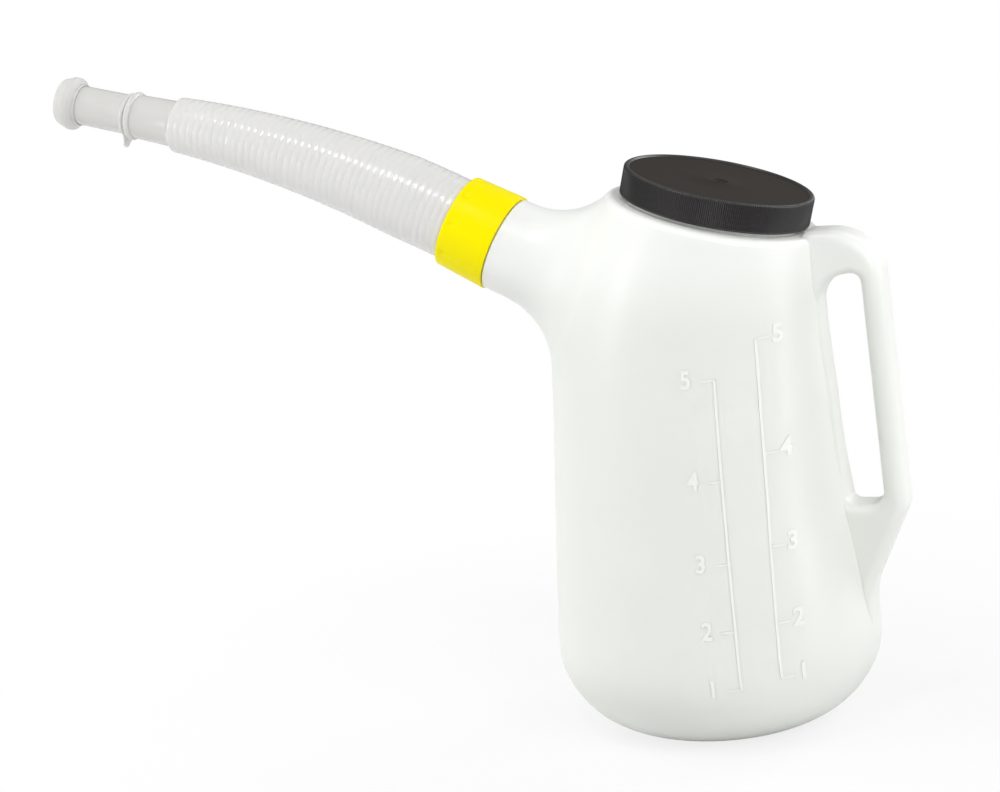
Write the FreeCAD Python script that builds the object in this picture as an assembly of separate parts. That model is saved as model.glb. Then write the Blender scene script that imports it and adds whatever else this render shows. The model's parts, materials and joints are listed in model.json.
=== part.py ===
import FreeCAD, Part

import math
import os

from FreeCAD import Vector

# A five-litre measuring jug for oil and coolant. The jug is one hollow blow
# moulding: an oval body that narrows upwards, a slanted filling mouth, a
# spout neck at the front and a hand loop at the back. Everything else screws
# or pushes on to it.
#
# Frame: millimetres, +Z up, the origin at the centre of the standing ring.
# The hand loop is on +X, the spout on -X, and Y = 0 is the plane of symmetry.

# ---- body -------------------------------------------------------------
BODY_RADIUS = 95.2            # widest, just above the rounded heel
HEEL_RADIUS = 53.0            # rounding between the wall and the bottom
FOOT_RADIUS = 50.0            # outer edge of the standing ring
PUSH_UP_RADIUS = 38.0         # hollow under the bottom
PUSH_UP_DEPTH = 3.0
PUSH_UP_SLOPE = 5.0           # width of the sloped edge of that hollow
WALL = 1.9                    # wall of the blow moulding
FRONT_DRAFT = 4.2             # degrees that the wall leans in, front
REAR_DRAFT = 5.5              # the same, under the hand loop
SIDE_DRAFT = 8.3              # the same, on both flanks
REAR_HOLLOW = 3.0             # shallow hollow behind the grip, for the knuckles
REAR_HOLLOW_FOOT = 75.0
SHOULDER_HEIGHT = 225.0       # where the wall starts to curve to the mouth
SHOULDER_LEAD = 0.14          # share of the front's draw-back that starts at once
SHOULDER_LAG = 1.5            # how late the rest of it comes

# ---- slanted mouth ------------------------------------------------------
MOUTH_TILT = 16.1             # degrees, down towards the hand loop
MOUTH_X = 19.3                # centre of the ledge under the lid
MOUTH_Z = 298.6
LEDGE_WIDTH = 6.4             # of the ledge, beyond the lid
LEDGE_ROUNDING = 4.0
MOUTH_WALL = 2.6
MOUTH_BEAD = 0.8              # support bead at the foot of the mouth collar
MOUTH_BEAD_WIDTH = 1.6

# ---- spout neck -----------------------------------------------------------
NECK_RISE = 28.0              # degrees above the horizontal
NECK_X = -110.2               # point on the neck axis at the nut's open end
NECK_Z = 286.2
NECK_RADIUS = 28.2
NECK_BLEND = 48.0             # rounding between the neck and the body
NECK_SHOULDER = 2.8           # how much thinner the threaded end under the nut is
NECK_STEP = 2.0               # length of the slope down to it
NECK_STEP_GAP = 1.5           # from the start of the step to the nut
NECK_DEPTH = 75.0             # how far back the neck's tube is carried into the body
NECK_WALL = 2.2

# ---- hand loop ------------------------------------------------------------
LOOP_WIDTH = 26.0
LOOP_TOP = 286.0              # height of its upper side
LOOP_STAND_OFF = 24.0         # outermost point of the grip, beyond the body
LOOP_LEAN = 1.8               # degrees that the grip leans in at its top
GRIP_THICKNESS = 12.4
LOOP_TOP_RADIUS = 29.0
LOOP_HEEL_HEIGHT = 126.5      # where the grip turns back to the body
LOOP_HEEL_RADIUS = 10.0
LOOP_FOOT_HEIGHT = 79.0       # where its lower web meets the wall
LOOP_FOOT_STEP = 3.6          # how far the web stands off the wall there
LOOP_FOOT_RADIUS = 40.0
LOOP_RUNOUT = 30.0            # further down, over which the web sinks into the wall
LOOP_ROUNDING = 6.0
LOOP_OVERLAP = 1.5            # how far the loop's outlines reach into the wall
WINDOW_TOP = 261.0            # finger window
WINDOW_BOTTOM = 128.0
WINDOW_FOOT_RADIUS = 8.0      # its two lower corners
WINDOW_GRIP_RADIUS = 5.5      # its upper corner at the grip
WINDOW_TOP_RADIUS = 18.0      # its upper corner under the mouth

# ---- lid --------------------------------------------------------------------
LID_RADIUS = 54.6
LID_HEIGHT = 16.3
LID_WALL = 2.3
LID_THREAD_ROOM = 1.9         # between the mouth's collar and the lid
LID_PLATE = 2.4
LID_RIM_WIDTH = 2.6           # raised rim round the sunk top panel
LID_PANEL_DEPTH = 0.9
LID_ROUNDING = 0.9            # top edge
LID_GAP = 2.3                 # between the skirt and the ledge
LID_CLEARANCE = 2.0           # between the skirt and the hand loop
SEAL_THICKNESS = 1.5
SEAL_CLEARANCE = 1.0          # round the seal, inside the lid
SEAT_GAP = 0.05               # between a seal and what presses on it

# ---- nut that holds the spout --------------------------------------------------
NUT_LENGTH = 30.9
NUT_THREAD_ROOM = 1.4         # between the neck's threaded end and the nut
NUT_WALL = 2.4                # at its open end
NUT_TAPER = 1.1               # how much thinner it is at the other end
NUT_END_WALL = 2.5
NUT_SEAT_WIDTH = 1.5          # how far the end wall reaches in over the flange
NUT_ROUNDING = 1.4
NUT_LIP = 0.8                 # lead-in at its open end
WASHER_THICKNESS = 1.4
WASHER_WIDTH = 3.0

# ---- flexible spout ------------------------------------------------------------
FLANGE_THICKNESS = 1.8
FLANGE_CLEARANCE = 0.4        # inside the nut
CUFF_CLEARANCE = 1.0          # plain cuff in the nut's hole
HOSE_BEND_RADIUS = 774.6      # of its axis
HOSE_END_RISE = 14.0          # degrees above the horizontal at the nozzle
HOSE_CLEARANCE = 0.4          # of the ribs in the nut's hole
HOSE_TAPER = 8.0              # how much thinner the hose is over the ribs at the nozzle
HOSE_STRAIGHT_SHARE = 0.19    # share of the hose before it starts to narrow
RIB_COUNT = 42
BORE_STEPS = 8                # straight lengths that its bore is made of
RIB_DEPTH = 1.3
HOSE_WALL = 0.9
NOZZLE_STEP = 2.9             # how much thinner the nozzle starts than the hose ends
NOZZLE_DRAFT = 0.6            # how much it narrows up to the pair of beads
NOZZLE_NECKING = 1.35         # how much thinner it is beyond them
NOZZLE_WALL = 1.3
SHOULDER_LENGTH = 2.4         # sloped shoulder between the hose and the nozzle
BEAD_DISTANCE = 30.0          # from the hose to the pair of beads
BEAD_SPACING = 4.2
BEAD_HEIGHT = 1.5
BEAD_WIDTH = 3.4
SECOND_BEAD_HEIGHT = 1.5
SECOND_BEAD_WIDTH = 2.4
LUG_LENGTH = 8.5              # tongue under the beads, for hanging the spout up
LUG_TIP = 1.3
LUG_ROOT = 4.5                # in front of its middle, at the nozzle
LUG_BLEND = 7.5               # behind its middle there
LUG_WAIST = 1.8               # either side of its middle, half way down
LUG_THICKNESS = 4.0

# ---- nozzle cap ------------------------------------------------------------------
CAP_DISTANCE = 66.9           # from the hose to the cap's open end
CAP_LENGTH = 13.8
CAP_RADIUS = 16.3
CAP_LIP = 1.0                 # wall at the open end, behind a sloped back
CAP_BACK = 3.2                # length of that slope
CAP_BAND = 3.8                # straight band before the cap tapers
CAP_END_RADIUS = 13.9
CAP_PLATE = 1.6
CAP_FIT = 0.3                 # round the nozzle and in front of it
CAP_ROUNDING = 1.0

# ---- sections that the body is lofted through ---------------------------------------
HEEL_STEPS = 6
WALL_STEPS = 5
SHOULDER_STEPS = 6
HEEL_EASE = 0.15              # share of the heel's radius over which it turns into the wall
OVAL_POINTS = 16
EDGE_SAMPLES = 7              # points that an edge is looked for by
EDGE_MATCH = 0.05             # how near to its form they have to lie
SEAM_MARGIN = 5.0             # from the seam of neck and body to the neck's ends

SIDEWAYS = Vector(0, 1, 0)


def rising(angle):
    """Unit vector in the plane of symmetry, forwards and up by an angle."""
    a = math.radians(angle)
    return Vector(-math.cos(a), 0, math.sin(a))


def hanging(angle):
    """Unit vector square to rising(angle), on its lower side."""
    return rising(angle - 90.0)


# the mouth and its lid, measured upwards from the ledge
MOUTH_AXIS = rising(180.0 - (90.0 - MOUTH_TILT))
MOUTH_ACROSS = SIDEWAYS.cross(MOUTH_AXIS)
LEDGE_CENTRE = Vector(MOUTH_X, 0, MOUTH_Z)
LEDGE_RADIUS = LID_RADIUS + LEDGE_WIDTH
LID_TOP = LID_GAP + LID_HEIGHT
LID_CEILING = LID_TOP - LID_PANEL_DEPTH - LID_PLATE
SEAL_FOOT = LID_CEILING - SEAT_GAP - SEAL_THICKNESS
MOUTH_RIM = SEAL_FOOT - SEAT_GAP
LID_BORE = LID_RADIUS - LID_WALL
MOUTH_RADIUS = LID_BORE - LID_THREAD_ROOM

# the hand loop
LOOP_REACH = BODY_RADIUS + LOOP_STAND_OFF

# the neck and what the nut clamps to it, measured forwards from the nut's open end
NECK_AXIS = rising(NECK_RISE)
NUT_FOOT = Vector(NECK_X, 0, NECK_Z)
NUT_END = NUT_FOOT + NECK_AXIS * NUT_LENGTH
FLANGE_FRONT = NUT_LENGTH - NUT_END_WALL - SEAT_GAP
FLANGE_BACK = FLANGE_FRONT - FLANGE_THICKNESS
WASHER_FRONT = FLANGE_BACK - SEAT_GAP
WASHER_BACK = WASHER_FRONT - WASHER_THICKNESS
NECK_RIM = WASHER_BACK - SEAT_GAP
NECK_THREAD_RADIUS = NECK_RADIUS - NECK_SHOULDER
NUT_BORE = NECK_THREAD_RADIUS + NUT_THREAD_ROOM
NUT_RADIUS = NUT_BORE + NUT_WALL
NUT_HOLE = NUT_BORE - NUT_SEAT_WIDTH
CUFF_RADIUS = NUT_HOLE - CUFF_CLEARANCE

# the hose's axis is an arc that levels out from the nut to the nozzle
HOSE_RADIUS = NUT_HOLE - HOSE_CLEARANCE
HOSE_TIP_RADIUS = HOSE_RADIUS - HOSE_TAPER
NOZZLE_RADIUS = HOSE_TIP_RADIUS - NOZZLE_STEP
NOZZLE_MID_RADIUS = NOZZLE_RADIUS - NOZZLE_DRAFT
NOZZLE_TIP_RADIUS = NOZZLE_MID_RADIUS - NOZZLE_NECKING
HOSE_LENGTH = HOSE_BEND_RADIUS * math.radians(NECK_RISE - HOSE_END_RISE)
HOSE_BEND_CENTRE = NUT_END + hanging(NECK_RISE) * HOSE_BEND_RADIUS
HOSE_END = HOSE_BEND_CENTRE - hanging(HOSE_END_RISE) * HOSE_BEND_RADIUS
NOZZLE_AXIS = rising(HOSE_END_RISE)
SECOND_BEAD = BEAD_DISTANCE + BEAD_SPACING
CAP_CEILING = CAP_DISTANCE + CAP_LENGTH - CAP_PLATE
NOZZLE_LENGTH = CAP_CEILING - CAP_FIT


def turned(profile, origin, axis):
    """Revolve (along, radius) points about an axis through the origin."""
    out = axis.cross(SIDEWAYS)
    points = [origin + axis * along + out * radius for along, radius in profile]
    wire = Part.makePolygon(points + points[:1])
    return Part.Face(wire).revolve(origin, axis, 360)


def eased(along, radius, rounding):
    """Outer corner of a profile at the far end of its piece, rounded in two facets."""
    share = rounding * (1 - math.sqrt(0.5))
    return [(along - rounding, radius), (along - share, radius - share), (along, radius - rounding)]


def oval(front, rear, half_width):
    """Closed oval through a front and a rear point and two flank points."""
    centre = (front + rear) * 0.5
    reach = (rear - front) * 0.5
    points = []
    for i in range(OVAL_POINTS):
        a = 2 * math.pi * i / OVAL_POINTS
        points.append(centre + reach * math.cos(a) + SIDEWAYS * (half_width * math.sin(a)))
    curve = Part.BSplineCurve()
    curve.interpolate(Points=points, PeriodicFlag=True)
    return Part.Wire([curve.toShape()])


# ---- the jug: outside and cavity are the same forms, a wall apart -------------------
def heel_centre():
    """Height of the centre of the heel's rounding, and its starting angle."""
    start = math.asin((FOOT_RADIUS - BODY_RADIUS + HEEL_RADIUS) / HEEL_RADIUS)
    return HEEL_RADIUS * math.cos(start), start


def wall_at(height, inset):
    """Front x, rear x and half width of the body's straight wall."""
    rise = height - heel_centre()[0]
    lean = [math.tan(math.radians(d)) for d in (FRONT_DRAFT, REAR_DRAFT, SIDE_DRAFT)]
    front, rear, side = [BODY_RADIUS - inset - rise * k for k in lean]
    up_the_hollow = (height - REAR_HOLLOW_FOOT) / (SHOULDER_HEIGHT - REAR_HOLLOW_FOOT)
    if 0 < up_the_hollow < 1:
        rear -= REAR_HOLLOW * math.sin(math.pi * up_the_hollow) ** 2
    return -front, rear, side


def heel_ovals(inset):
    height, start = heel_centre()
    core = BODY_RADIUS - HEEL_RADIUS
    ovals = []
    for i in range(HEEL_STEPS):
        a = start + (math.pi / 2 - start) * i / HEEL_STEPS
        r = core + (HEEL_RADIUS - inset) * math.sin(a)
        z = height - (HEEL_RADIUS - inset) * math.cos(a)
        ovals.append((Vector(-r, 0, z), Vector(r, 0, z), r))
    return ovals


def wall_ovals(inset):
    low = heel_centre()[0] + HEEL_RADIUS * HEEL_EASE
    ovals = []
    for i in range(WALL_STEPS):
        z = low + (SHOULDER_HEIGHT - low) * i / WALL_STEPS
        front, rear, side = wall_at(z, inset)
        ovals.append((Vector(front, 0, z), Vector(rear, 0, z), side))
    return ovals


def shoulder_ovals(inset):
    """The shoulder tips over to the mouth's slant as it closes in on it."""
    front, rear, side = wall_at(SHOULDER_HEIGHT, inset)
    top = LEDGE_CENTRE - MOUTH_AXIS * inset
    ledge_front = top - MOUTH_ACROSS * (LEDGE_RADIUS - inset)
    ledge_rear = top + MOUTH_ACROSS * (LEDGE_RADIUS - inset)
    start_lean = (top.z - SHOULDER_HEIGHT) * math.tan(math.radians(SIDE_DRAFT))
    ovals = []
    for i in range(SHOULDER_STEPS + 1):
        t = i / SHOULDER_STEPS
        ease = SHOULDER_LEAD * t + (1 - SHOULDER_LEAD) * t ** SHOULDER_LAG
        a = Vector(front + (ledge_front.x - front) * ease, 0,
                   SHOULDER_HEIGHT + (ledge_front.z - SHOULDER_HEIGHT) * t)
        b = Vector(rear + (ledge_rear.x - rear) * t, 0,
                   SHOULDER_HEIGHT + (ledge_rear.z - SHOULDER_HEIGHT) * t)
        flank = side - start_lean * t - (side - LEDGE_RADIUS + inset - start_lean) * t ** 2
        ovals.append((a, b, flank))
    return ovals


def body_form(inset):
    """Oval body up to the rounded edge of the ledge; below the neck its cavity is in bands."""
    sections = [oval(*s) for s in heel_ovals(inset) + wall_ovals(inset) + shoulder_ovals(inset)]
    if inset > 0:
        split = HEEL_STEPS + WALL_STEPS - 1
        bands = Part.makeLoft(sections[:split + 1], True, True)
        solid = bands.fuse(Part.makeLoft(sections[split:], True, False))
    else:
        solid = Part.makeLoft(sections, True, False)
    edge_of_ledge = []
    for edge in solid.Edges:
        heights = [(p - LEDGE_CENTRE).dot(MOUTH_AXIS) + inset for p in edge.discretize(EDGE_SAMPLES)]
        if max(abs(h) for h in heights) < EDGE_MATCH:
            edge_of_ledge.append(edge)
    return solid.makeFillet(LEDGE_ROUNDING - inset, edge_of_ledge)


def push_up(inset):
    """Hollow under the bottom, a flat-topped cone."""
    top = PUSH_UP_DEPTH + inset
    slope = PUSH_UP_SLOPE / PUSH_UP_DEPTH
    foot = PUSH_UP_RADIUS + inset
    return Part.makeCone(foot, foot - top * slope, top)


def loop_outline(inset):
    """Side view of the hand loop, from inside the body round the grip."""
    lean = math.tan(math.radians(LOOP_LEAN))
    top = LOOP_TOP - inset
    reach = LOOP_REACH - inset
    reach_top = reach - (LOOP_TOP - LOOP_HEEL_HEIGHT) * lean
    foot = wall_at(LOOP_FOOT_HEIGHT, 0)[1]
    runout = LOOP_FOOT_HEIGHT - LOOP_RUNOUT
    end = wall_at(runout, inset)[1] - LOOP_OVERLAP
    corners = [Vector(MOUTH_X, 0, top), Vector(reach_top, 0, top),
               Vector(reach, 0, LOOP_HEEL_HEIGHT),
               Vector(foot + LOOP_FOOT_STEP - inset, 0, LOOP_FOOT_HEIGHT),
               Vector(end, 0, runout), Vector(MOUTH_X, 0, runout)]
    radii = [0, LOOP_TOP_RADIUS - inset, LOOP_HEEL_RADIUS - inset, LOOP_FOOT_RADIUS + inset, 0, 0]
    return rounded(corners, radii)


def window_outline(inset):
    """Finger window, which reaches just into the body's rear wall."""
    lean = math.tan(math.radians(LOOP_LEAN))
    top = WINDOW_TOP + inset
    bottom = WINDOW_BOTTOM - inset
    right = LOOP_REACH - GRIP_THICKNESS + inset
    right_top = right - (top - bottom) * lean
    left_top = wall_at(SHOULDER_HEIGHT, inset)[1] - LOOP_OVERLAP
    left = wall_at(bottom, inset)[1] - LOOP_OVERLAP
    corners = [Vector(left, 0, bottom), Vector(left_top, 0, top),
               Vector(right_top, 0, top), Vector(right, 0, bottom)]
    radii = [WINDOW_FOOT_RADIUS, WINDOW_TOP_RADIUS, WINDOW_GRIP_RADIUS, WINDOW_FOOT_RADIUS]
    return rounded(corners, [radius + inset for radius in radii])


def rounded(corners, radii):
    """Closed outline with its corners rounded."""
    count = len(corners)
    starts, ends = [], []
    for i, corner in enumerate(corners):
        to_last = (corners[i - 1] - corner).normalize()
        to_next = (corners[(i + 1) % count] - corner).normalize()
        half = to_last.getAngle(to_next) / 2
        cut = radii[i] / math.tan(half)
        starts.append(corner + to_last * cut)
        ends.append(corner + to_next * cut)
    edges = []
    for i, corner in enumerate(corners):
        if radii[i] > 0:
            inward = ((starts[i] + ends[i]) * 0.5 - corner).normalize()
            half = (corners[i - 1] - corner).getAngle(corners[(i + 1) % count] - corner) / 2
            middle = corner + inward * (radii[i] / math.sin(half) - radii[i])
            edges.append(Part.Arc(starts[i], middle, ends[i]).toShape())
        edges.append(Part.LineSegment(ends[i], starts[(i + 1) % count]).toShape())
    return Part.Wire(edges)


def loop_form(inset):
    half = LOOP_WIDTH / 2 - inset
    across = SIDEWAYS * (2 * half)
    start = SIDEWAYS * -half

    def slab(wire):
        wire.translate(start)
        return Part.Face(wire).extrude(across)

    solid = slab(loop_outline(inset)).cut(slab(window_outline(inset)))
    flanks = []
    for edge in solid.Edges:
        offsets = [abs(p.y) for p in edge.discretize(EDGE_SAMPLES)]
        if min(offsets) > half - EDGE_MATCH and edge.BoundBox.XMax > MOUTH_X + SEAM_MARGIN:
            flanks.append(edge)
    solid = solid.makeFillet(LOOP_ROUNDING - inset, flanks)
    lid_room = Part.makeCylinder(LID_RADIUS + LID_CLEARANCE + inset, LOOP_WIDTH,
                                 LEDGE_CENTRE - MOUTH_AXIS * (LEDGE_ROUNDING / 2 + inset), MOUTH_AXIS)
    return solid.cut(lid_room)


def neck_form(inset):
    """Tube of the neck, from deep inside the body to the step before the nut."""
    inner_end = NUT_FOOT - NECK_AXIS * NECK_DEPTH
    length = NECK_DEPTH - NECK_STEP_GAP - inset
    return Part.makeCylinder(NECK_RADIUS - inset, length, inner_end, NECK_AXIS)


def blow_moulding(inset):
    """Body, neck and hand loop as one blended form."""
    joined = body_form(inset).fuse(neck_form(inset))
    seam = []
    for edge in joined.Edges:
        points = edge.discretize(EDGE_SAMPLES)
        offsets = [(p - NUT_FOOT).cross(NECK_AXIS).Length for p in points]
        depths = [(p - NUT_FOOT).dot(NECK_AXIS) for p in points]
        on_neck = max(abs(d - NECK_RADIUS + inset) for d in offsets) < EDGE_MATCH
        if on_neck and max(depths) < -SEAM_MARGIN and min(depths) > SEAM_MARGIN - NECK_DEPTH:
            seam.append(edge)
    joined = joined.makeFillet(NECK_BLEND + inset, seam)
    return joined.fuse(loop_form(inset)).cut(push_up(inset))


def mouth_collar():
    """Plug of the mouth's collar and its support bead; the bore is cut later."""
    crown = MOUTH_RIM - MOUTH_WALL / 4
    bead = MOUTH_RADIUS + MOUTH_BEAD
    return turned([(-WALL, 0), (-WALL, MOUTH_RADIUS), (0, bead), (MOUTH_BEAD_WIDTH, bead),
                   (MOUTH_BEAD_WIDTH + MOUTH_BEAD, MOUTH_RADIUS), (crown, MOUTH_RADIUS),
                   (MOUTH_RIM, MOUTH_RADIUS - MOUTH_WALL / 4), (MOUTH_RIM, 0)],
                  LEDGE_CENTRE, MOUTH_AXIS)


def neck_core():
    """Plug of the threaded end of the neck; the bore is cut later."""
    return turned([(-NECK_STEP_GAP - WALL, 0), (-NECK_STEP_GAP - WALL, NECK_RADIUS),
                   (-NECK_STEP_GAP, NECK_RADIUS), (NECK_STEP - NECK_STEP_GAP, NECK_THREAD_RADIUS),
                   (NECK_RIM, NECK_THREAD_RADIUS), (NECK_RIM, 0)],
                  NUT_FOOT, NECK_AXIS)


def jug_body():
    outside = blow_moulding(0).fuse([mouth_collar(), neck_core()])
    mouth_bore = Part.makeCylinder(MOUTH_RADIUS - MOUTH_WALL, MOUTH_RIM + 2 * WALL + 1,
                                   LEDGE_CENTRE - MOUTH_AXIS * 2 * WALL, MOUTH_AXIS)
    neck_bore = Part.makeCylinder(NECK_THREAD_RADIUS - NECK_WALL, NECK_RIM + NECK_STEP_GAP + 2 * WALL + 1,
                                  NUT_FOOT - NECK_AXIS * (NECK_STEP_GAP + 2 * WALL), NECK_AXIS)
    return outside.cut([blow_moulding(WALL), mouth_bore, neck_bore])


# ---- lid ------------------------------------------------------------------------------
def lid():
    panel = LID_TOP - LID_PANEL_DEPTH
    rim = LID_RADIUS - LID_RIM_WIDTH
    profile = [(LID_GAP, LID_BORE), (LID_GAP, LID_RADIUS)] + eased(LID_TOP, LID_RADIUS, LID_ROUNDING)
    profile += [(LID_TOP, rim), (panel, rim - LID_PANEL_DEPTH), (panel, 0),
                (LID_CEILING, 0), (LID_CEILING, LID_BORE)]
    return turned(profile, LEDGE_CENTRE, MOUTH_AXIS)


def lid_seal():
    return Part.makeCylinder(LID_BORE - SEAL_CLEARANCE, SEAL_THICKNESS,
                             LEDGE_CENTRE + MOUTH_AXIS * SEAL_FOOT, MOUTH_AXIS)


# ---- nut, washer and flexible spout ---------------------------------------------------------
def collar_nut():
    inner_end = NUT_LENGTH - NUT_END_WALL
    far_radius = NUT_RADIUS - NUT_TAPER
    profile = [(0, NUT_BORE + NUT_LIP), (0, NUT_RADIUS)] + eased(NUT_LENGTH, far_radius, NUT_ROUNDING)
    profile += [(NUT_LENGTH, NUT_HOLE), (inner_end, NUT_HOLE), (inner_end, NUT_BORE),
                (NUT_LIP, NUT_BORE)]
    return turned(profile, NUT_FOOT, NECK_AXIS)


def spout_washer():
    inner = NECK_THREAD_RADIUS - WASHER_WIDTH
    return turned([(WASHER_BACK, inner), (WASHER_BACK, NECK_THREAD_RADIUS),
                   (WASHER_FRONT, NECK_THREAD_RADIUS), (WASHER_FRONT, inner)],
                  NUT_FOOT, NECK_AXIS)


def hose_circle(distance, radius):
    """Section of the hose at a distance along its bent axis."""
    rise = NECK_RISE - math.degrees(distance / HOSE_BEND_RADIUS)
    centre = HOSE_BEND_CENTRE - hanging(rise) * HOSE_BEND_RADIUS
    return Part.Wire([Part.Circle(centre, rising(rise), radius).toShape()])


def crest_radius(distance):
    """Radius over the ribs: even at first, then tapering to the nozzle."""
    taper = (distance / HOSE_LENGTH - HOSE_STRAIGHT_SHARE) / (1 - HOSE_STRAIGHT_SHARE)
    return HOSE_RADIUS - (HOSE_RADIUS - HOSE_TIP_RADIUS) * max(taper, 0)


def hose_form():
    """Tapering ribs along the bent axis."""
    pitch = HOSE_LENGTH / RIB_COUNT
    sections = [hose_circle(0, crest_radius(0) - RIB_DEPTH)]
    for i in range(RIB_COUNT):
        crest = (i + 0.5) * pitch
        root = (i + 1) * pitch
        sections.append(hose_circle(crest, crest_radius(crest)))
        sections.append(hose_circle(root, crest_radius(root) - RIB_DEPTH))
    return Part.makeLoft(sections, True, True)


def hose_bore():
    """Plain bore under the ribs, along the same bent axis."""
    sections = []
    for i in range(BORE_STEPS + 1):
        distance = HOSE_LENGTH * i / BORE_STEPS
        sections.append(hose_circle(distance, crest_radius(distance) - RIB_DEPTH - HOSE_WALL))
    return Part.makeLoft(sections, True, True)


def nozzle_form(inset):
    """Smooth nozzle after the hose, in two steps."""
    return turned([(0, 0), (0, HOSE_TIP_RADIUS - RIB_DEPTH - inset),
                   (SHOULDER_LENGTH, NOZZLE_RADIUS - inset), (BEAD_DISTANCE, NOZZLE_MID_RADIUS - inset),
                   (SECOND_BEAD, NOZZLE_TIP_RADIUS - inset), (NOZZLE_LENGTH, NOZZLE_TIP_RADIUS - inset),
                   (NOZZLE_LENGTH, 0)],
                  HOSE_END, NOZZLE_AXIS)


def nozzle_bead(distance, width, crest):
    half = width / 2
    return turned([(distance - half, 0), (distance - half, NOZZLE_TIP_RADIUS),
                   (distance - half / 2, crest), (distance + half / 2, crest),
                   (distance + half, NOZZLE_TIP_RADIUS), (distance + half, 0)],
                  HOSE_END, NOZZLE_AXIS)


def hanging_lug():
    """Waisted tongue under the second bead."""
    down = hanging(HOSE_END_RISE)
    root = HOSE_END + NOZZLE_AXIS * SECOND_BEAD + down * (NOZZLE_TIP_RADIUS - NOZZLE_WALL / 2)
    middle = root + down * (LUG_LENGTH / 2)
    tip = root + down * (LUG_LENGTH + NOZZLE_WALL)
    start = SIDEWAYS * (-LUG_THICKNESS / 2)

    def at(point, forward):
        return point + NOZZLE_AXIS * forward + start

    outline = [Part.LineSegment(at(root, -LUG_BLEND), at(root, LUG_ROOT)).toShape(),
               Part.Arc(at(root, LUG_ROOT), at(middle, LUG_WAIST), at(tip, LUG_TIP)).toShape(),
               Part.LineSegment(at(tip, LUG_TIP), at(tip, -LUG_TIP)).toShape(),
               Part.Arc(at(tip, -LUG_TIP), at(middle, -LUG_WAIST), at(root, -LUG_BLEND)).toShape()]
    return Part.Face(Part.Wire(outline)).extrude(SIDEWAYS * LUG_THICKNESS)


def flexible_spout():
    flange = NUT_BORE - FLANGE_CLEARANCE
    cuff = turned([(FLANGE_BACK, 0), (FLANGE_BACK, flange), (FLANGE_FRONT, flange),
                   (FLANGE_FRONT, CUFF_RADIUS), (NUT_LENGTH, CUFF_RADIUS), (NUT_LENGTH, 0)],
                  NUT_FOOT, NECK_AXIS)
    first_bead = nozzle_bead(BEAD_DISTANCE, BEAD_WIDTH, NOZZLE_MID_RADIUS + BEAD_HEIGHT)
    second_bead = nozzle_bead(SECOND_BEAD, SECOND_BEAD_WIDTH, NOZZLE_TIP_RADIUS + SECOND_BEAD_HEIGHT)
    outside = cuff
    for form in (hose_form(), nozzle_form(0), first_bead, second_bead, hanging_lug()):
        outside = outside.fuse(form)
    cuff_bore = Part.makeCylinder(CUFF_RADIUS - HOSE_WALL, NUT_LENGTH - FLANGE_BACK,
                                  NUT_FOOT + NECK_AXIS * FLANGE_BACK, NECK_AXIS)
    return outside.cut([cuff_bore, hose_bore(), nozzle_form(NOZZLE_WALL)])


# ---- nozzle cap -------------------------------------------------------------------------------
def nozzle_cap():
    bore = NOZZLE_TIP_RADIUS + CAP_FIT
    back = CAP_DISTANCE + CAP_BACK
    profile = [(CAP_DISTANCE, bore), (CAP_DISTANCE, bore + CAP_LIP), (back, CAP_RADIUS),
               (back + CAP_BAND, CAP_RADIUS)]
    profile += eased(CAP_DISTANCE + CAP_LENGTH, CAP_END_RADIUS, CAP_ROUNDING)
    profile += [(CAP_DISTANCE + CAP_LENGTH, 0), (CAP_CEILING, 0), (CAP_CEILING, bore)]
    return turned(profile, HOSE_END, NOZZLE_AXIS)


PIECES = [jug_body, lid, lid_seal, collar_nut, spout_washer, flexible_spout, nozzle_cap]

os.makedirs("parts", exist_ok=True)
for piece in PIECES:
    piece().exportStep(f"parts/{piece.__name__}.step")
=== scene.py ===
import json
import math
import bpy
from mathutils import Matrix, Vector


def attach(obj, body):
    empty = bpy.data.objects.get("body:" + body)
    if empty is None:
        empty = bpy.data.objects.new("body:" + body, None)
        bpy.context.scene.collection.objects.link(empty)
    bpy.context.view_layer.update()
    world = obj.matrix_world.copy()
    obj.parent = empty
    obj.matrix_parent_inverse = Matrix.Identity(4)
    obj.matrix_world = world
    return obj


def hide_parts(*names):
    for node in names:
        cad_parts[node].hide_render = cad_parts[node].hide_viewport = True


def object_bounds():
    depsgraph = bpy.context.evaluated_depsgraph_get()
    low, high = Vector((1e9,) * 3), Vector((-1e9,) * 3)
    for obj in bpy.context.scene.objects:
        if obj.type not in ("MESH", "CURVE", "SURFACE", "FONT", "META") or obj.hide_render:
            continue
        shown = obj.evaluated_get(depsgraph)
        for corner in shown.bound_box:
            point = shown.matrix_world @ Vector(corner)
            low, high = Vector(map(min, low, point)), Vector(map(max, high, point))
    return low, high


bl_info = {
    "name": "Measuring jug",
    "version": (1, 0, 0),
    "blender": (4, 5, 0),
    "location": "3D View > Sidebar > Jug",
    "description": "Finishes a five-litre measuring jug with a flexible spout around its CAD",
    "category": "Object",
}

import bmesh
import bpy
import numpy as np
from bpy.props import FloatProperty, FloatVectorProperty, IntProperty, PointerProperty
from mathutils import Matrix, Vector
from mathutils.bvhtree import BVHTree

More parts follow.
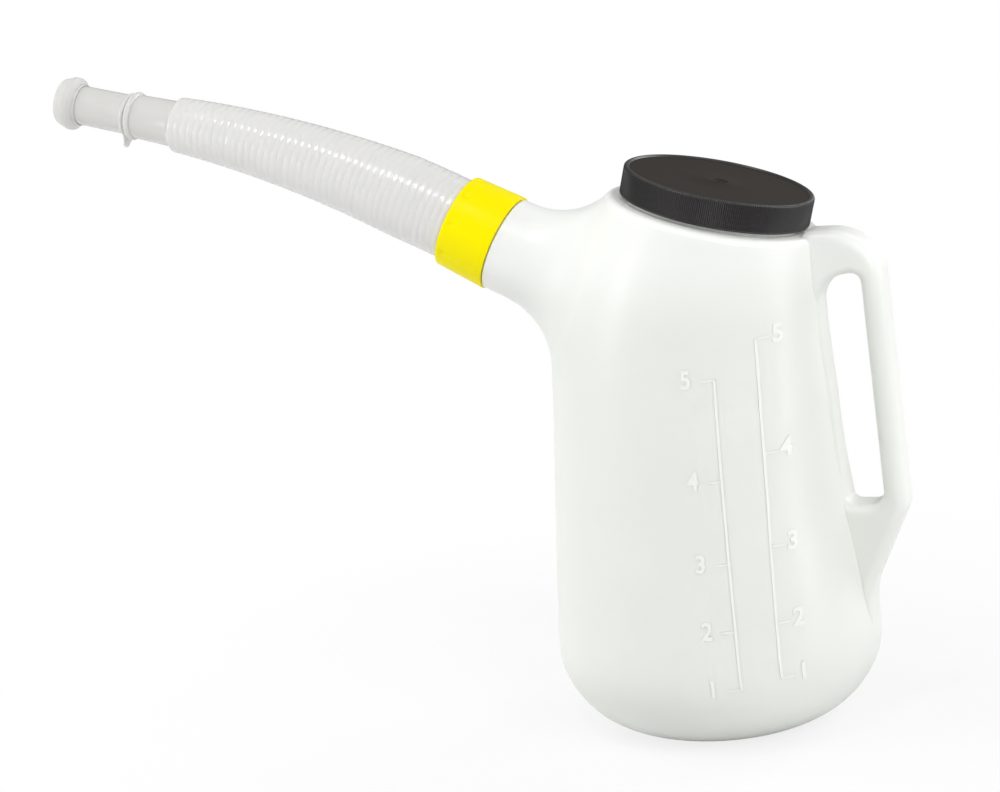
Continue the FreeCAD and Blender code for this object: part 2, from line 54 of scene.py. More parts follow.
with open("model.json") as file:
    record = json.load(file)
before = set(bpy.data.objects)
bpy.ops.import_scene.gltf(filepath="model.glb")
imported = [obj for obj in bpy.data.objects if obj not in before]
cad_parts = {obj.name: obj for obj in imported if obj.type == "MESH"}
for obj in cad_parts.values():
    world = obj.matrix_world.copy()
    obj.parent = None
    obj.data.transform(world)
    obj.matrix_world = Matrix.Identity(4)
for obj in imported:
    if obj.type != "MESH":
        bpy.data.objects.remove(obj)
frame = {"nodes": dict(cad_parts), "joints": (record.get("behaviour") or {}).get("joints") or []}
cad_low, cad_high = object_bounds()

MM = 0.001
SIDEWAYS = Vector((0, 1, 0))
TURN = 2 * math.pi

ROUND_STEPS = 96              # points round a plain turned piece
LID_STEPS_PER_RIB = 6
NUT_STEPS = 288
RIDGE_SHARE = 0.34            # width of a thread's ridge, as a share of its pitch
CREST_SHARE = 0.16            # half width of its crest, as a share of its width
RIDGE_ROOT = 0.25 * MM        # how deep it sits in its wall
THREAD_MARGIN = 1.5 * MM      # plain wall before a thread starts
LID_THREAD_SHARE = 0.9        # height of the lid's thread over the mouth's
MARK_STEP = 1.2 * MM          # steps in which the marks follow the wall
MARK_ROOT = 0.3 * MM          # how deep they sit in it
NUMERAL_SHARE = 0.7           # height of a numeral, as a share of its font size
NUMERAL_WEIGHT = 0.045        # how much it is thickened, as a share of its height
DIMPLE_DISTANCE = 5.0 * MM    # from the nut's far end
DIMPLE_STEP = 0.6 * MM        # between the rows that draw the dimples
DIMPLE_SHARPNESS = 16         # power that narrows them round the nut
STRAIGHT_SHARE = 0.19         # share of the hose that doesn't taper
GROOVE_SHARPNESS = 3          # power that narrows the grooves along it
BEAD_DISTANCE = 30.0 * MM     # from the hose's end to the first bead
SECOND_BEAD = 4.2 * MM        # from the first bead to the second
NOZZLE_SETBACK = 1.9 * MM     # from the cap's far end back to the nozzle's tip
NOZZLE_WALL = 1.3 * MM
SHADOW_CORE = 0.15            # the floor shows its whole shadow up to here


# ---- lines that the pieces turn and slide on ----
class CentreLine:
    """A line in the plane of symmetry: straight, from bend_start on an arc, and straight again."""

    def __init__(self, origin, axis, bend_start=math.inf, bend_radius=1.0, bend_angle=0.0):
        self.origin = Vector(origin)
        self.axis = Vector(axis).normalized()
        self.up = SIDEWAYS.cross(self.axis)
        self.bend_start = bend_start
        self.bend_radius = bend_radius
        self.bend_angle = bend_angle

    def station(self, along):
        """Centre, forward direction and upper side at a distance along the line."""
        run = along - self.bend_start
        if run <= 0:
            return self.origin + self.axis * along, self.axis, self.up
        turn = min(run / self.bend_radius, self.bend_angle)
        start = self.origin + self.axis * self.bend_start
        forward = self.axis * math.cos(turn) - self.up * math.sin(turn)
        upper = self.up * math.cos(turn) + self.axis * math.sin(turn)
        centre = (start + self.axis * (self.bend_radius * math.sin(turn))
                  - self.up * (self.bend_radius * (1 - math.cos(turn))))
        rest = max(run - self.bend_radius * self.bend_angle, 0)
        return centre + forward * rest, forward, upper


def joint(name):
    """Joint of the frame with this name."""
    return next(j for j in frame["joints"] if j["name"] == name)


def hinge_line(name):
    """Straight line that a joint turns about."""
    found = joint(name)
    return CentreLine(found["pos_m"], found["axis"])


def node_points(node):
    """Points of a CAD node, in the frame's metres."""
    mesh = frame["nodes"][node].data
    points = np.empty(len(mesh.vertices) * 3, np.float32)
    mesh.vertices.foreach_get("co", points)
    return points.reshape(-1, 3).astype(float)


def reach(node, line):
    """Lowest and highest distance along a straight line, and widest radius, of a CAD node."""
    offset = node_points(node) - np.array(line.origin)
    along = offset @ np.array(line.axis)
    radius = np.linalg.norm(offset - np.outer(along, np.array(line.axis)), axis=1)
    return along.min(), along.max(), radius.max()


def spout_line():
    """Neck axis, then the hose's arc from the nut's end, then the nozzle axis."""
    neck = hinge_line("nut_turn")
    nozzle_axis = Vector(joint("cap_slide")["axis"]).normalized()
    across = SIDEWAYS.cross(nozzle_axis)
    heights = node_points("nozzle_cap") @ np.array(across)
    nozzle_height = (heights.min() + heights.max()) / 2
    corner = (nozzle_height - neck.origin.dot(across)) / neck.axis.dot(across)
    bend_start = reach("collar_nut", neck)[1]
    bend_angle = neck.axis.angle(nozzle_axis)
    bend_radius = (corner - bend_start) / math.tan(bend_angle / 2)
    return CentreLine(neck.origin, neck.axis, bend_start, bend_radius, bend_angle)


MOUTH = hinge_line("lid_turn")
NECK = hinge_line("nut_turn")
SPOUT = spout_line()
HOSE_START = SPOUT.bend_start
HOSE_END = HOSE_START + SPOUT.bend_radius * SPOUT.bend_angle
NOZZLE = CentreLine(SPOUT.station(HOSE_END)[0], SPOUT.station(HOSE_END)[1])
LID_FOOT, LID_TOP, LID_RADIUS = reach("lid", MOUTH)
SEAL_FOOT = reach("lid_seal", MOUTH)[0]
NUT_FOOT, NUT_END, NUT_RADIUS = reach("collar_nut", NECK)
WASHER_FOOT = reach("spout_washer", NECK)[0]
FLANGE_FOOT = reach("flexible_spout", NECK)[0]
CAP_FOOT, CAP_END, CAP_RADIUS = reach("nozzle_cap", NOZZLE)


# ---- building meshes ----
def soften(corners, steps=4):
    """Closed profile of (along, radius, rounding) corners with its roundings drawn as arcs."""
    points = []
    count = len(corners)
    for i, (along, radius, rounding) in enumerate(corners):
        here = Vector((along, radius))
        if rounding <= 0:
            points.append(here)
            continue
        back = (Vector(corners[i - 1][:2]) - here).normalized()
        on = (Vector(corners[(i + 1) % count][:2]) - here).normalized()
        half = back.angle(on) / 2
        centre = here + (back + on).normalized() * (rounding / math.sin(half))
        start = here + back * (rounding / math.tan(half)) - centre
        end = here + on * (rounding / math.tan(half)) - centre
        for k in range(steps + 1):
            points.append(centre + start.lerp(end, k / steps).normalized() * rounding)
    return [(p[0], p[1]) for p in points]


def lathe(line, rows, ripple):
    """Closed bmesh turned about a line from rows of (along, radius[, share of the ripple])."""
    count = len(ripple)
    angles = np.arange(count) * TURN / count
    rings = []
    for row in rows:
        along, radius = row[:2]
        share = row[2] if len(row) > 2 else 0.0
        centre, _, upper = line.station(along)
        radii = np.full(count, radius) + share * ripple if radius > 0 else np.zeros(count)
        ring = (np.array(centre) + np.outer(radii * np.cos(angles), np.array(upper))
                + np.outer(radii * np.sin(angles), np.array(SIDEWAYS)))
        rings.append(ring)
    points = np.concatenate(rings)
    closed = min(rows[0][1], rows[-1][1]) > 0
    faces = []
    for i in range(len(rows) if closed else len(rows) - 1):
        low, high = i * count, (i + 1) % len(rows) * count
        for k in range(count):
            n = (k + 1) % count
            faces.append((low + k, low + n, high + n, high + k))
    mesh = bpy.data.meshes.new("turned")
    mesh.from_pydata(points.tolist(), [], faces)
    form = bmesh.new()
    form.from_mesh(mesh)
    bpy.data.meshes.remove(mesh)
    if not closed:
        poles = [v for v in form.verts if (v.co - line.origin).cross(line.axis).length < 1e-9]
        bmesh.ops.remove_doubles(form, verts=poles, dist=1e-7)
    bmesh.ops.recalc_face_normals(form, faces=form.faces)
    return form


def helix(line, radius, height, foot, top, pitch, phase=0.0, inside=False, per_turn=72):
    """Bmesh of one thread ridge that fades in and out over a third of a turn at its ends."""
    turns = (top - foot) / pitch
    steps = max(int(turns * per_turn), 8)
    fade = 1 / (3 * turns)
    width = pitch * RIDGE_SHARE
    sign = -1 if inside else 1
    form = bmesh.new()
    sections = []
    for i in range(steps + 1):
        share = i / steps
        angle = phase + TURN * turns * share
        along = foot + (top - foot) * share
        full = min(share / fade, (1 - share) / fade, 1.0)
        crest = radius + sign * height * math.sin(full * math.pi / 2)
        sunk = radius - sign * RIDGE_ROOT
        outline = [(along - width / 2, sunk), (along - width * CREST_SHARE, crest),
                   (along + width * CREST_SHARE, crest), (along + width / 2, sunk)]
        side = line.up * math.cos(angle) + SIDEWAYS * math.sin(angle)
        sections.append([form.verts.new(line.origin + line.axis * a + side * r)
                         for a, r in outline])
    for section, following in zip(sections, sections[1:]):
        for k in range(4):
            n = (k + 1) % 4
            form.faces.new((section[k], section[n], following[n], following[k]))
    form.faces.new(sections[0])
    form.faces.new(reversed(sections[-1]))
    bmesh.ops.recalc_face_normals(form, faces=form.faces)
    return form


def add_piece(name, forms, material, body, replaced=(), sharp=35.0):
    """Join bmeshes into one shown piece that rides on a body and takes its finish from a slot."""
    whole = bmesh.new()
    for form in forms:
        mesh = bpy.data.meshes.new("form")
        form.to_mesh(mesh)
        form.free()
        whole.from_mesh(mesh)
        bpy.data.meshes.remove(mesh)
    mesh = bpy.data.meshes.new(name)
    whole.to_mesh(mesh)
    whole.free()
    mesh.shade_smooth()
    mesh.set_sharp_from_angle(angle=math.radians(sharp))
    mesh.materials.append(material)
    piece = bpy.data.objects.new(name, mesh)
    bpy.context.scene.collection.objects.link(piece)
    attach(piece, body)
    if replaced:
        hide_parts(*replaced)


def finish_node(node, material):
    """Give a CAD piece that is shown as it is its finish."""
    piece = frame["nodes"][node]
    piece.data.materials.clear()
    piece.data.materials.append(material)


# ---- materials ----
class Finish:
    """A material built round one Principled shader, with its nodes in the object's own space."""

    def __init__(self, name, colour, roughness, **values):
        self.material = bpy.data.materials.new(name)
        self.material.use_nodes = True
        self.nodes = self.material.node_tree.nodes
        self.links = self.material.node_tree.links
        self.shader = self.nodes["Principled BSDF"]
        self.place = self.nodes.new("ShaderNodeTexCoord").outputs["Object"]
        self.shader.inputs["Base Color"].default_value = (*colour, 1)
        self.shader.inputs["Roughness"].default_value = roughness
        for socket, value in values.items():
            self.shader.inputs[socket.replace("_", " ")].default_value = value
        self.height = None

    def maths(self, kind, operation, *sources):
        """Outputs of a maths node fed from sockets and plain values."""
        node = self.nodes.new("ShaderNode" + kind)
        node.operation = operation
        for socket, source in zip(node.inputs, sources):
            if isinstance(source, bpy.types.NodeSocket):
                self.links.new(source, socket)
            else:
                socket.default_value = source
        return node.outputs

    def noise(self, size, detail=3.0):
        """Noise with features of about this size in metres."""
        node = self.nodes.new("ShaderNodeTexNoise")
        node.inputs["Scale"].default_value = 1 / size
        node.inputs["Detail"].default_value = detail
        self.links.new(self.place, node.inputs["Vector"])
        return node.outputs["Fac"]

    def between(self, source, low, high, source_low=0.3, source_high=0.7, curve="LINEAR"):
        """Source carried from its own range to another, and held at the ends."""
        node = self.nodes.new("ShaderNodeMapRange")
        node.interpolation_type = curve
        node.inputs["From Min"].default_value = source_low
        node.inputs["From Max"].default_value = source_high
        node.inputs["To Min"].default_value = low
        node.inputs["To Max"].default_value = high
        self.links.new(source, node.inputs["Value"])
        return node.outputs["Result"]

    def inside_radius(self, line, radius):
        """1 within this distance of a straight line and 0 outside it."""
        offset = self.maths("VectorMath", "SUBTRACT", self.place, line.origin)[0]
        turned = self.maths("VectorMath", "CROSS_PRODUCT", offset, line.axis)[0]
        distance = self.maths("VectorMath", "LENGTH", turned)["Value"]
        return self.between(distance, 1, 0, radius - 0.1 * MM, radius + 0.1 * MM)

    def vary_roughness(self, source, low, high):
        """Roughness from low to high over the middle of a noise."""
        self.links.new(self.between(source, low, high), self.shader.inputs["Roughness"])

    def vary_colour(self, source, low, high):
        """Base colour from low to high as the source goes from 0 to 1."""
        node = self.nodes.new("ShaderNodeMix")
        node.data_type = "RGBA"
        node.inputs["A"].default_value = (*low, 1)
        node.inputs["B"].default_value = (*high, 1)
        self.links.new(source, node.inputs["Factor"])
        self.links.new(node.outputs["Result"], self.shader.inputs["Base Color"])

    def bump(self, source, depth, strength=1.0):
        """Relief of this depth in metres, on top of any earlier one."""
        node = self.nodes.new("ShaderNodeBump")
        node.inputs["Strength"].default_value = strength
        node.inputs["Distance"].default_value = depth
        self.links.new(source, node.inputs["Height"])
        if self.height is not None:
            self.links.new(self.height, node.inputs["Normal"])
        self.height = node.outputs["Normal"]
        self.links.new(self.height, self.shader.inputs["Normal"])


def blown_plastic(name, look):
    """Natural polyethylene: satin, milky, with the faint orange peel of a blow mould."""
    finish = Finish(name, look.colour, look.roughness, Subsurface_Weight=look.scatter,
                    Subsurface_Radius=(1.0, 1.0, 1.0), Subsurface_Scale=look.scatter_radius,
                    IOR=1.5, Specular_IOR_Level=0.45)
    clouds = finish.between(finish.noise(0.06, detail=2.0), -look.cloudiness, look.cloudiness)
    # painted light: from a height up the colour turns lighter over the shoulder and neck for the
    # light that falls there, and the clouds shift that share at random
    height = finish.nodes.new("ShaderNodeSeparateXYZ")
    finish.links.new(finish.place, height.inputs[0])
    painted_light_and_clouds = finish.between(height.outputs["Z"], 0, 1, look.thin_below, look.thick_above,
                               "SMOOTHSTEP")
    painted_light_and_clouds = finish.maths("Math", "ADD", painted_light_and_clouds, clouds)[0]
    finish.vary_colour(painted_light_and_clouds, tuple(look.colour), tuple(look.thick_colour))
    finish.vary_roughness(finish.noise(0.012), look.roughness - 0.04, look.roughness + 0.05)
    finish.bump(finish.noise(0.035, detail=1.0), depth=0.00035)
    finish.bump(finish.noise(0.0016, detail=2.0), depth=0.00002, strength=0.6)
    return finish.material


def black_plastic(name, look):
    """Black lid with a matt, fine-grained panel inside its smooth rim and skirt."""
    finish = Finish(name, look.colour, 0.4, IOR=1.5)
    panel = finish.inside_radius(MOUTH, LID_RADIUS - look.rim_width - 0.5 * MM)
    finish.vary_colour(panel, tuple(look.colour), tuple(look.panel_colour))
    for socket, rim, inside in (("Specular IOR Level", 0.5, 0.12), ("Roughness", 0.38, 0.62)):
        value = finish.between(panel, rim, inside, 0, 1)
        finish.links.new(value, finish.shader.inputs[socket])
    finish.bump(finish.noise(0.00045, detail=2.0), depth=0.00006, strength=0.8)
    return finish.material


def yellow_plastic(name, look):
    """Bright, slightly uneven plastic of the nut."""
    finish = Finish(name, look.colour, 0.36, IOR=1.49, Specular_IOR_Level=0.08)
    finish.vary_roughness(finish.noise(0.009), 0.3, 0.42)
    finish.bump(finish.noise(0.012, detail=1.0), depth=0.00008)
    finish.bump(finish.noise(0.0007, detail=2.0), depth=0.00001, strength=0.5)
    return finish.material


def milky_plastic(name, look, thin_colour=None):
    """Soft translucent plastic of the spout and its cap, paler where the hose's wall is thin."""
    finish = Finish(name, look.colour, look.roughness, Subsurface_Weight=1.0,
                    Subsurface_Radius=(1.0, 1.0, 1.0), Subsurface_Scale=0.002,
                    IOR=1.45, Specular_IOR_Level=0.5)
    if thin_colour is not None:
        along = finish.maths("VectorMath", "DOT_PRODUCT", finish.place, NOZZLE.axis)["Value"]
        shoulder = NOZZLE.origin.dot(NOZZLE.axis)
        share = finish.between(along, 0, 1, shoulder + 4 * MM, shoulder - 2 * MM)
        finish.vary_colour(share, tuple(look.colour), tuple(thin_colour))
    finish.vary_roughness(finish.noise(0.008), look.roughness - 0.04, look.roughness + 0.04)
    finish.bump(finish.noise(0.01, detail=1.0), depth=0.00008)
    return finish.material


def foam(name):
    """White foam of the lid's seal."""
    finish = Finish(name, (0.82, 0.82, 0.8), 0.85)
    cells = finish.between(finish.noise(0.0012), 0, 1)
    finish.vary_colour(cells, (0.78, 0.78, 0.76), (0.85, 0.85, 0.83))
    finish.bump(finish.noise(0.0008, detail=4.0), depth=0.0002)
    return finish.material


def rubber(name):
    """Black rubber of the washer."""
    finish = Finish(name, (0.03, 0.03, 0.03), 0.7)
    finish.vary_roughness(finish.noise(0.003), 0.6, 0.8)
    finish.bump(finish.noise(0.0006), depth=0.00005)
    return finish.material


def white_ground(name, look):
    """Floor that looks white to the camera and still takes the jug's shadow."""
    finish = Finish(name, look.floor_colour, 0.9)
    finish.vary_roughness(finish.noise(0.2), 0.85, 0.95)
    sky = finish.nodes.new("ShaderNodeEmission")
    sky.inputs["Color"].default_value = (1, 1, 1, 1)
    sky.inputs["Strength"].default_value = 1.0
    path = finish.nodes.new("ShaderNodeLightPath")
    away = finish.maths("VectorMath", "LENGTH", finish.place)["Value"]
    white = finish.between(away, look.floor_whiteness, 1.0, SHADOW_CORE, look.shadow_reach)
    share = finish.maths("Math", "MULTIPLY", path.outputs["Is Camera Ray"], white)[0]
    mixed = finish.nodes.new("ShaderNodeMixShader")
    finish.links.new(share, mixed.inputs[0])
    finish.links.new(finish.shader.outputs[0], mixed.inputs[1])
    finish.links.new(sky.outputs[0], mixed.inputs[2])
    finish.links.new(mixed.outputs[0], finish.nodes["Material Output"].inputs["Surface"])
    return finish.material


# ---- the scales on the body ----
def flat_bar(form, start, end, width, steps):
    """Strip between two (x, z) points, cut into steps so that it can follow the wall."""
    run = Vector(end) - Vector(start)
    side = Vector((-run[1], run[0])).normalized() * (width / 2)
    rows = []
    for i in range(steps + 1):
        here = Vector(start) + run * (i / steps)
        rows.append([form.verts.new((p[0], 0, p[1])) for p in (here - side, here + side)])
    for row, following in zip(rows, rows[1:]):
        form.faces.new((row[0], row[1], following[1], following[0]))


def flat_numeral(form, text, centre, height, squeeze):
    """Outline of a numeral, filled, in the X-Z plane, narrowed for the turn of the wall."""
    curve = bpy.data.curves.new("numeral", "FONT")
    curve.body = text
    curve.align_x = "CENTER"
    curve.size = height / NUMERAL_SHARE
    curve.offset = height * NUMERAL_WEIGHT
    holder = bpy.data.objects.new("numeral", curve)
    bpy.context.scene.collection.objects.link(holder)
    bpy.context.view_layer.update()
    mesh = bpy.data.meshes.new_from_object(holder)
    bpy.data.objects.remove(holder)
    bpy.data.curves.remove(curve)
    middle = Vector((centre[0], 0, centre[1] - height / 2))
    upright = Matrix.Rotation(math.pi / 2, 4, "X") @ Matrix.Diagonal((squeeze, 1, 1, 1))
    mesh.transform(Matrix.Translation(middle) @ upright)
    form.from_mesh(mesh)
    bpy.data.meshes.remove(mesh)


def wall_at(surface, x, z):
    """Point and outward normal of the near wall at a place in the X-Z plane."""
    hit, normal, _, _ = surface.ray_cast(Vector((x, -1.0, z)), SIDEWAYS)
    if hit is None:
        raise RuntimeError("a scale mark misses the jug's wall")
    return hit, normal


def cut_in_steps(form, axis, step):
    """Cut a flat form across, so that its straight edges can follow a curved wall."""
    low = min(vert.co[axis] for vert in form.verts)
    high = max(vert.co[axis] for vert in form.verts)
    across = Vector([float(i == axis) for i in range(3)])
    for i in range(1, math.ceil((high - low) / step)):
        bmesh.ops.bisect_plane(form, geom=form.verts[:] + form.edges[:] + form.faces[:],
                               plane_co=across * (low + i * step), plane_no=across, dist=1e-6)


def emboss(form, surface, height, sink):
    """Turn a flat form in the X-Z plane into relief on the surface in front of it."""
    bmesh.ops.remove_doubles(form, verts=form.verts, dist=1e-6)
    for axis in (0, 2):
        cut_in_steps(form, axis, MARK_STEP)
    raised = bmesh.new()
    tops, feet = {}, {}
    for vert in form.verts:
        hit, normal = wall_at(surface, vert.co.x, vert.co.z)
        tops[vert] = raised.verts.new(hit + normal * height)
        feet[vert] = raised.verts.new(hit - normal * sink)
    for face in form.faces:
        raised.faces.new([tops[v] for v in face.verts])
        raised.faces.new([feet[v] for v in reversed(face.verts)])
    for edge in form.edges:
        if len(edge.link_faces) == 1:
            a, b = edge.verts
            raised.faces.new((tops[a], tops[b], feet[b], feet[a]))
    form.free()
    bmesh.ops.recalc_face_normals(raised, faces=raised.faces)
    return raised


# ---- settings ----
class BodyLook(bpy.types.PropertyGroup):
    colour: FloatVectorProperty(
        name="Colour", description="Colour of the natural polyethylene",
        subtype="COLOR", size=3, default=(0.745, 0.76, 0.725))
    # painted light: this lighter colour of the shoulder and neck, and the two heights between
    # which it fades in, stand for the light that falls on the top of the body
    thick_colour: FloatVectorProperty(
        name="Thick colour", description="Colour of the thick shoulder and neck",
        subtype="COLOR", size=3, default=(0.82, 0.83, 0.81))
    thin_below: FloatProperty(
        name="Thin below", description="Height up to which the wall is thin",
        default=0.235, unit="LENGTH")
    thick_above: FloatProperty(
        name="Thick above", description="Height from which the wall is thick",
        default=0.285, unit="LENGTH")
    roughness: FloatProperty(name="Roughness", description="Satin of the outside", default=0.34)
    scatter: FloatProperty(
        name="Milkiness", description="Share of light that enters the wall",
        default=1.0, subtype="FACTOR")
    scatter_radius: FloatProperty(
        name="Scatter radius", description="How far light travels in the wall",
        default=0.002, unit="LENGTH")
    # the clouds make the share of that painted lighter colour wander at random
    cloudiness: FloatProperty(
        name="Cloudiness", description="How much the wall's thickness wanders",
        default=0.12, subtype="FACTOR")
    thread_pitch: FloatProperty(
        name="Thread pitch", description="Rise of both threads in one turn",
        default=0.004, unit="LENGTH")
    mouth_thread: FloatProperty(
        name="Mouth thread", description="Height of the thread on the mouth",
        default=0.0010, unit="LENGTH")
    neck_thread: FloatProperty(
        name="Neck thread", description="Height of the thread on the neck",
        default=0.0008, unit="LENGTH")


class ScaleLook(bpy.types.PropertyGroup):
    relief: FloatProperty(
        name="Relief", description="Height of the marks over the wall",
        default=0.0002, unit="LENGTH")
    line_width: FloatProperty(
        name="Line width", description="Width of the upright lines",
        default=0.0014, unit="LENGTH")
    tick_width: FloatProperty(
        name="Tick width", description="Width of the marks across them",
        default=0.0011, unit="LENGTH")
    tick_length: FloatProperty(
        name="Tick length", description="Length of the marks across them",
        default=0.0080, unit="LENGTH")
    numeral_height: FloatProperty(
        name="Numeral height", description="Height of the numerals",
        default=0.0096, unit="LENGTH")
    numeral_rise: FloatProperty(
        name="Numeral rise", description="Height of their middles over the marks",
        default=0.0017, unit="LENGTH")
    litre_numerals: FloatProperty(
        name="Litre numerals", description="From the litre line to their middles",
        default=0.0130, unit="LENGTH")
    quart_numerals: FloatProperty(
        name="Quart numerals", description="From the quart line to their middles",
        default=0.0165, unit="LENGTH")
    # partly painted highlight: the marks are lighter than the wall for their thicker plastic and
    # for the highlights on the raised relief
    colour: FloatVectorProperty(
        name="Colour", description="Colour of the thicker plastic in the marks",
        subtype="COLOR", size=3, default=(0.79, 0.805, 0.77))


class LidLook(bpy.types.PropertyGroup):
    colour: FloatVectorProperty(
        name="Colour", description="Colour of the skirt and the rim",
        subtype="COLOR", size=3, default=(0.020, 0.018, 0.019))
    panel_colour: FloatVectorProperty(
        name="Panel colour", description="Colour of the sunk panel",
        subtype="COLOR", size=3, default=(0.024, 0.020, 0.016))
    rib_count: IntProperty(
        name="Ribs", description="Fine upright ribs round the skirt",
        default=300)
    rib_depth: FloatProperty(
        name="Rib depth", description="Depth of the grooves between the ribs",
        default=0.0005, unit="LENGTH")
    wall: FloatProperty(
        name="Wall", description="Thickness of the skirt",
        default=0.0023, unit="LENGTH")
    plate: FloatProperty(
        name="Plate", description="Thickness of the top",
        default=0.0024, unit="LENGTH")
    rim_width: FloatProperty(
        name="Rim width", description="Width of the raised rim",
        default=0.0026, unit="LENGTH")
    panel_depth: FloatProperty(
        name="Panel depth", description="How far the panel is sunk",
        default=0.0009, unit="LENGTH")
    dish_radius: FloatProperty(
        name="Dish radius", description="Radius of the gate's shallow dish",
        default=0.0050, unit="LENGTH")


class NutLook(bpy.types.PropertyGroup):
    colour: FloatVectorProperty(
        name="Colour", description="Colour of the yellow plastic",
        subtype="COLOR", size=3, default=(0.87, 0.76, 0.0))
    taper: FloatProperty(
        name="Taper", description="How much narrower the nut is at the hose",
        default=0.0011, unit="LENGTH")
    wall: FloatProperty(
        name="Wall", description="Thickness of the nut's wall",
        default=0.0024, unit="LENGTH")
    overlap: FloatProperty(
        name="Overlap", description="How far the open end reaches past the CAD nut",
        default=0.0005, unit="LENGTH")
    end_wall: FloatProperty(
        name="End wall", description="Thickness of the end that holds the spout",
        default=0.0025, unit="LENGTH")
    hole_radius: FloatProperty(
        name="Hole radius", description="Radius of the hole for the spout",
        default=0.0253, unit="LENGTH")
    rounding: FloatProperty(
        name="Rounding", description="Rounding of the edge at the hose",
        default=0.0014, unit="LENGTH")
    dimple_count: IntProperty(name="Dimples", description="Shallow marks round the nut", default=9)
    dimple_depth: FloatProperty(
        name="Dimple depth", description="Depth of those marks",
        default=0.0009, unit="LENGTH")


class SpoutLook(bpy.types.PropertyGroup):
    colour: FloatVectorProperty(
        name="Colour", description="Colour of the thick nozzle",
        subtype="COLOR", size=3, default=(0.64, 0.635, 0.62))
    hose_colour: FloatVectorProperty(
        name="Hose colour", description="Colour of the thin hose",
        subtype="COLOR", size=3, default=(0.725, 0.72, 0.71))
    roughness: FloatProperty(name="Roughness", description="Gloss of the outside", default=0.15)
    rib_count: IntProperty(name="Ribs", description="Ribs of the bellows", default=42)
    rib_depth: FloatProperty(
        name="Rib depth", description="Depth between the ribs",
        default=0.00022, unit="LENGTH")
    radius: FloatProperty(
        name="Radius", description="Radius over the ribs at the nut",
        default=0.0249, unit="LENGTH")
    taper: FloatProperty(
        name="Taper", description="How much narrower the hose is at the nozzle",
        default=0.0080, unit="LENGTH")
    wall: FloatProperty(
        name="Wall", description="Thickness of the bellows",
        default=0.0009, unit="LENGTH")
    nozzle_radius: FloatProperty(
        name="Nozzle radius", description="Radius of the nozzle at the hose",
        default=0.0140, unit="LENGTH")
    tip_radius: FloatProperty(
        name="Tip radius", description="Radius of the nozzle's tip",
        default=0.01205, unit="LENGTH")


class CapLook(bpy.types.PropertyGroup):
    colour: FloatVectorProperty(
        name="Colour", description="Colour of the cap",
        subtype="COLOR", size=3, default=(0.63, 0.625, 0.61))
    roughness: FloatProperty(name="Roughness", description="Gloss of the cap", default=0.36)
    end_radius: FloatProperty(
        name="End radius", description="Radius of the closed end",
        default=0.0139, unit="LENGTH")
    plate: FloatProperty(
        name="Plate", description="Thickness of the closed end",
        default=0.0016, unit="LENGTH")
    fit: FloatProperty(
        name="Fit", description="Room round the nozzle",
        default=0.0003, unit="LENGTH")


class StudioLook(bpy.types.PropertyGroup):
    lens: FloatProperty(name="Lens", description="Focal length in millimetres", default=90.0)
    camera_place: FloatVectorProperty(
        name="Camera", description="Where the camera stands",
        subtype="TRANSLATION", size=3, default=(0.4321, -1.3473, 0.5060))
    camera_azimuth: FloatProperty(
        name="Azimuth", description="Turn of the camera round the jug",
        subtype="ANGLE", default=math.radians(22.396))
    camera_elevation: FloatProperty(
        name="Elevation", description="Height angle of the camera",
        subtype="ANGLE", default=math.radians(12.084))
    camera_roll: FloatProperty(
        name="Roll", description="Roll about the line of sight",
        subtype="ANGLE", default=math.radians(6.266))
    floor_colour: FloatVectorProperty(
        name="Floor", description="Colour of the floor",
        subtype="COLOR", size=3, default=(0.75, 0.75, 0.75))
    floor_whiteness: FloatProperty(
        name="Whiteness", description="Share of plain white that the camera sees",
        default=0.8, subtype="FACTOR")
    shadow_reach: FloatProperty(
        name="Shadow reach", description="Distance beyond which the floor is plain white",
        default=0.5, unit="LENGTH")
    surround: FloatProperty(name="Surround", description="Light from all round", default=0.35)
    lamp_strength: FloatProperty(name="Lamps", description="Factor on all lamps", default=1.0)


# ---- operators ----
def reach_of_collar(line, low, high):
    """Outside radius of the body's round collar about a line, half way between two distances."""
    surface = BVHTree.FromObject(frame["nodes"]["jug_body"], bpy.context.evaluated_depsgraph_get())
    along = (low + high) / 2
    start = line.origin + line.axis * along + SIDEWAYS * 0.3
    hit = surface.ray_cast(start, -SIDEWAYS)[0]
    if hit is None:
        raise RuntimeError("the body has no collar on this line")
    return hit.y


class JUG_OT_body(bpy.types.Operator):
    """Give the blow-moulded body its milky plastic and its two threads"""

    bl_idname = "jug.body"
    bl_label = "Body and threads"

    def execute(self, context):
        look = context.scene.jug_body
        material = blown_plastic("natural_polyethylene", look)
        finish_node("jug_body", material)
        collar = reach_of_collar(MOUTH, LID_FOOT, SEAL_FOOT)
        mouth = helix(MOUTH, collar, look.mouth_thread, foot=LID_FOOT + THREAD_MARGIN,
                      top=SEAL_FOOT - 1.2 * MM, pitch=look.thread_pitch)
        add_piece("mouth_thread", [mouth], material, "jug")
        foot = NUT_FOOT + 4 * MM
        core = reach_of_collar(NECK, foot, WASHER_FOOT)
        neck = helix(NECK, core, look.neck_thread, foot=foot, top=WASHER_FOOT - 2 * MM,
                     pitch=look.thread_pitch)
        add_piece("neck_thread", [neck], material, "jug")
        return {"FINISHED"}


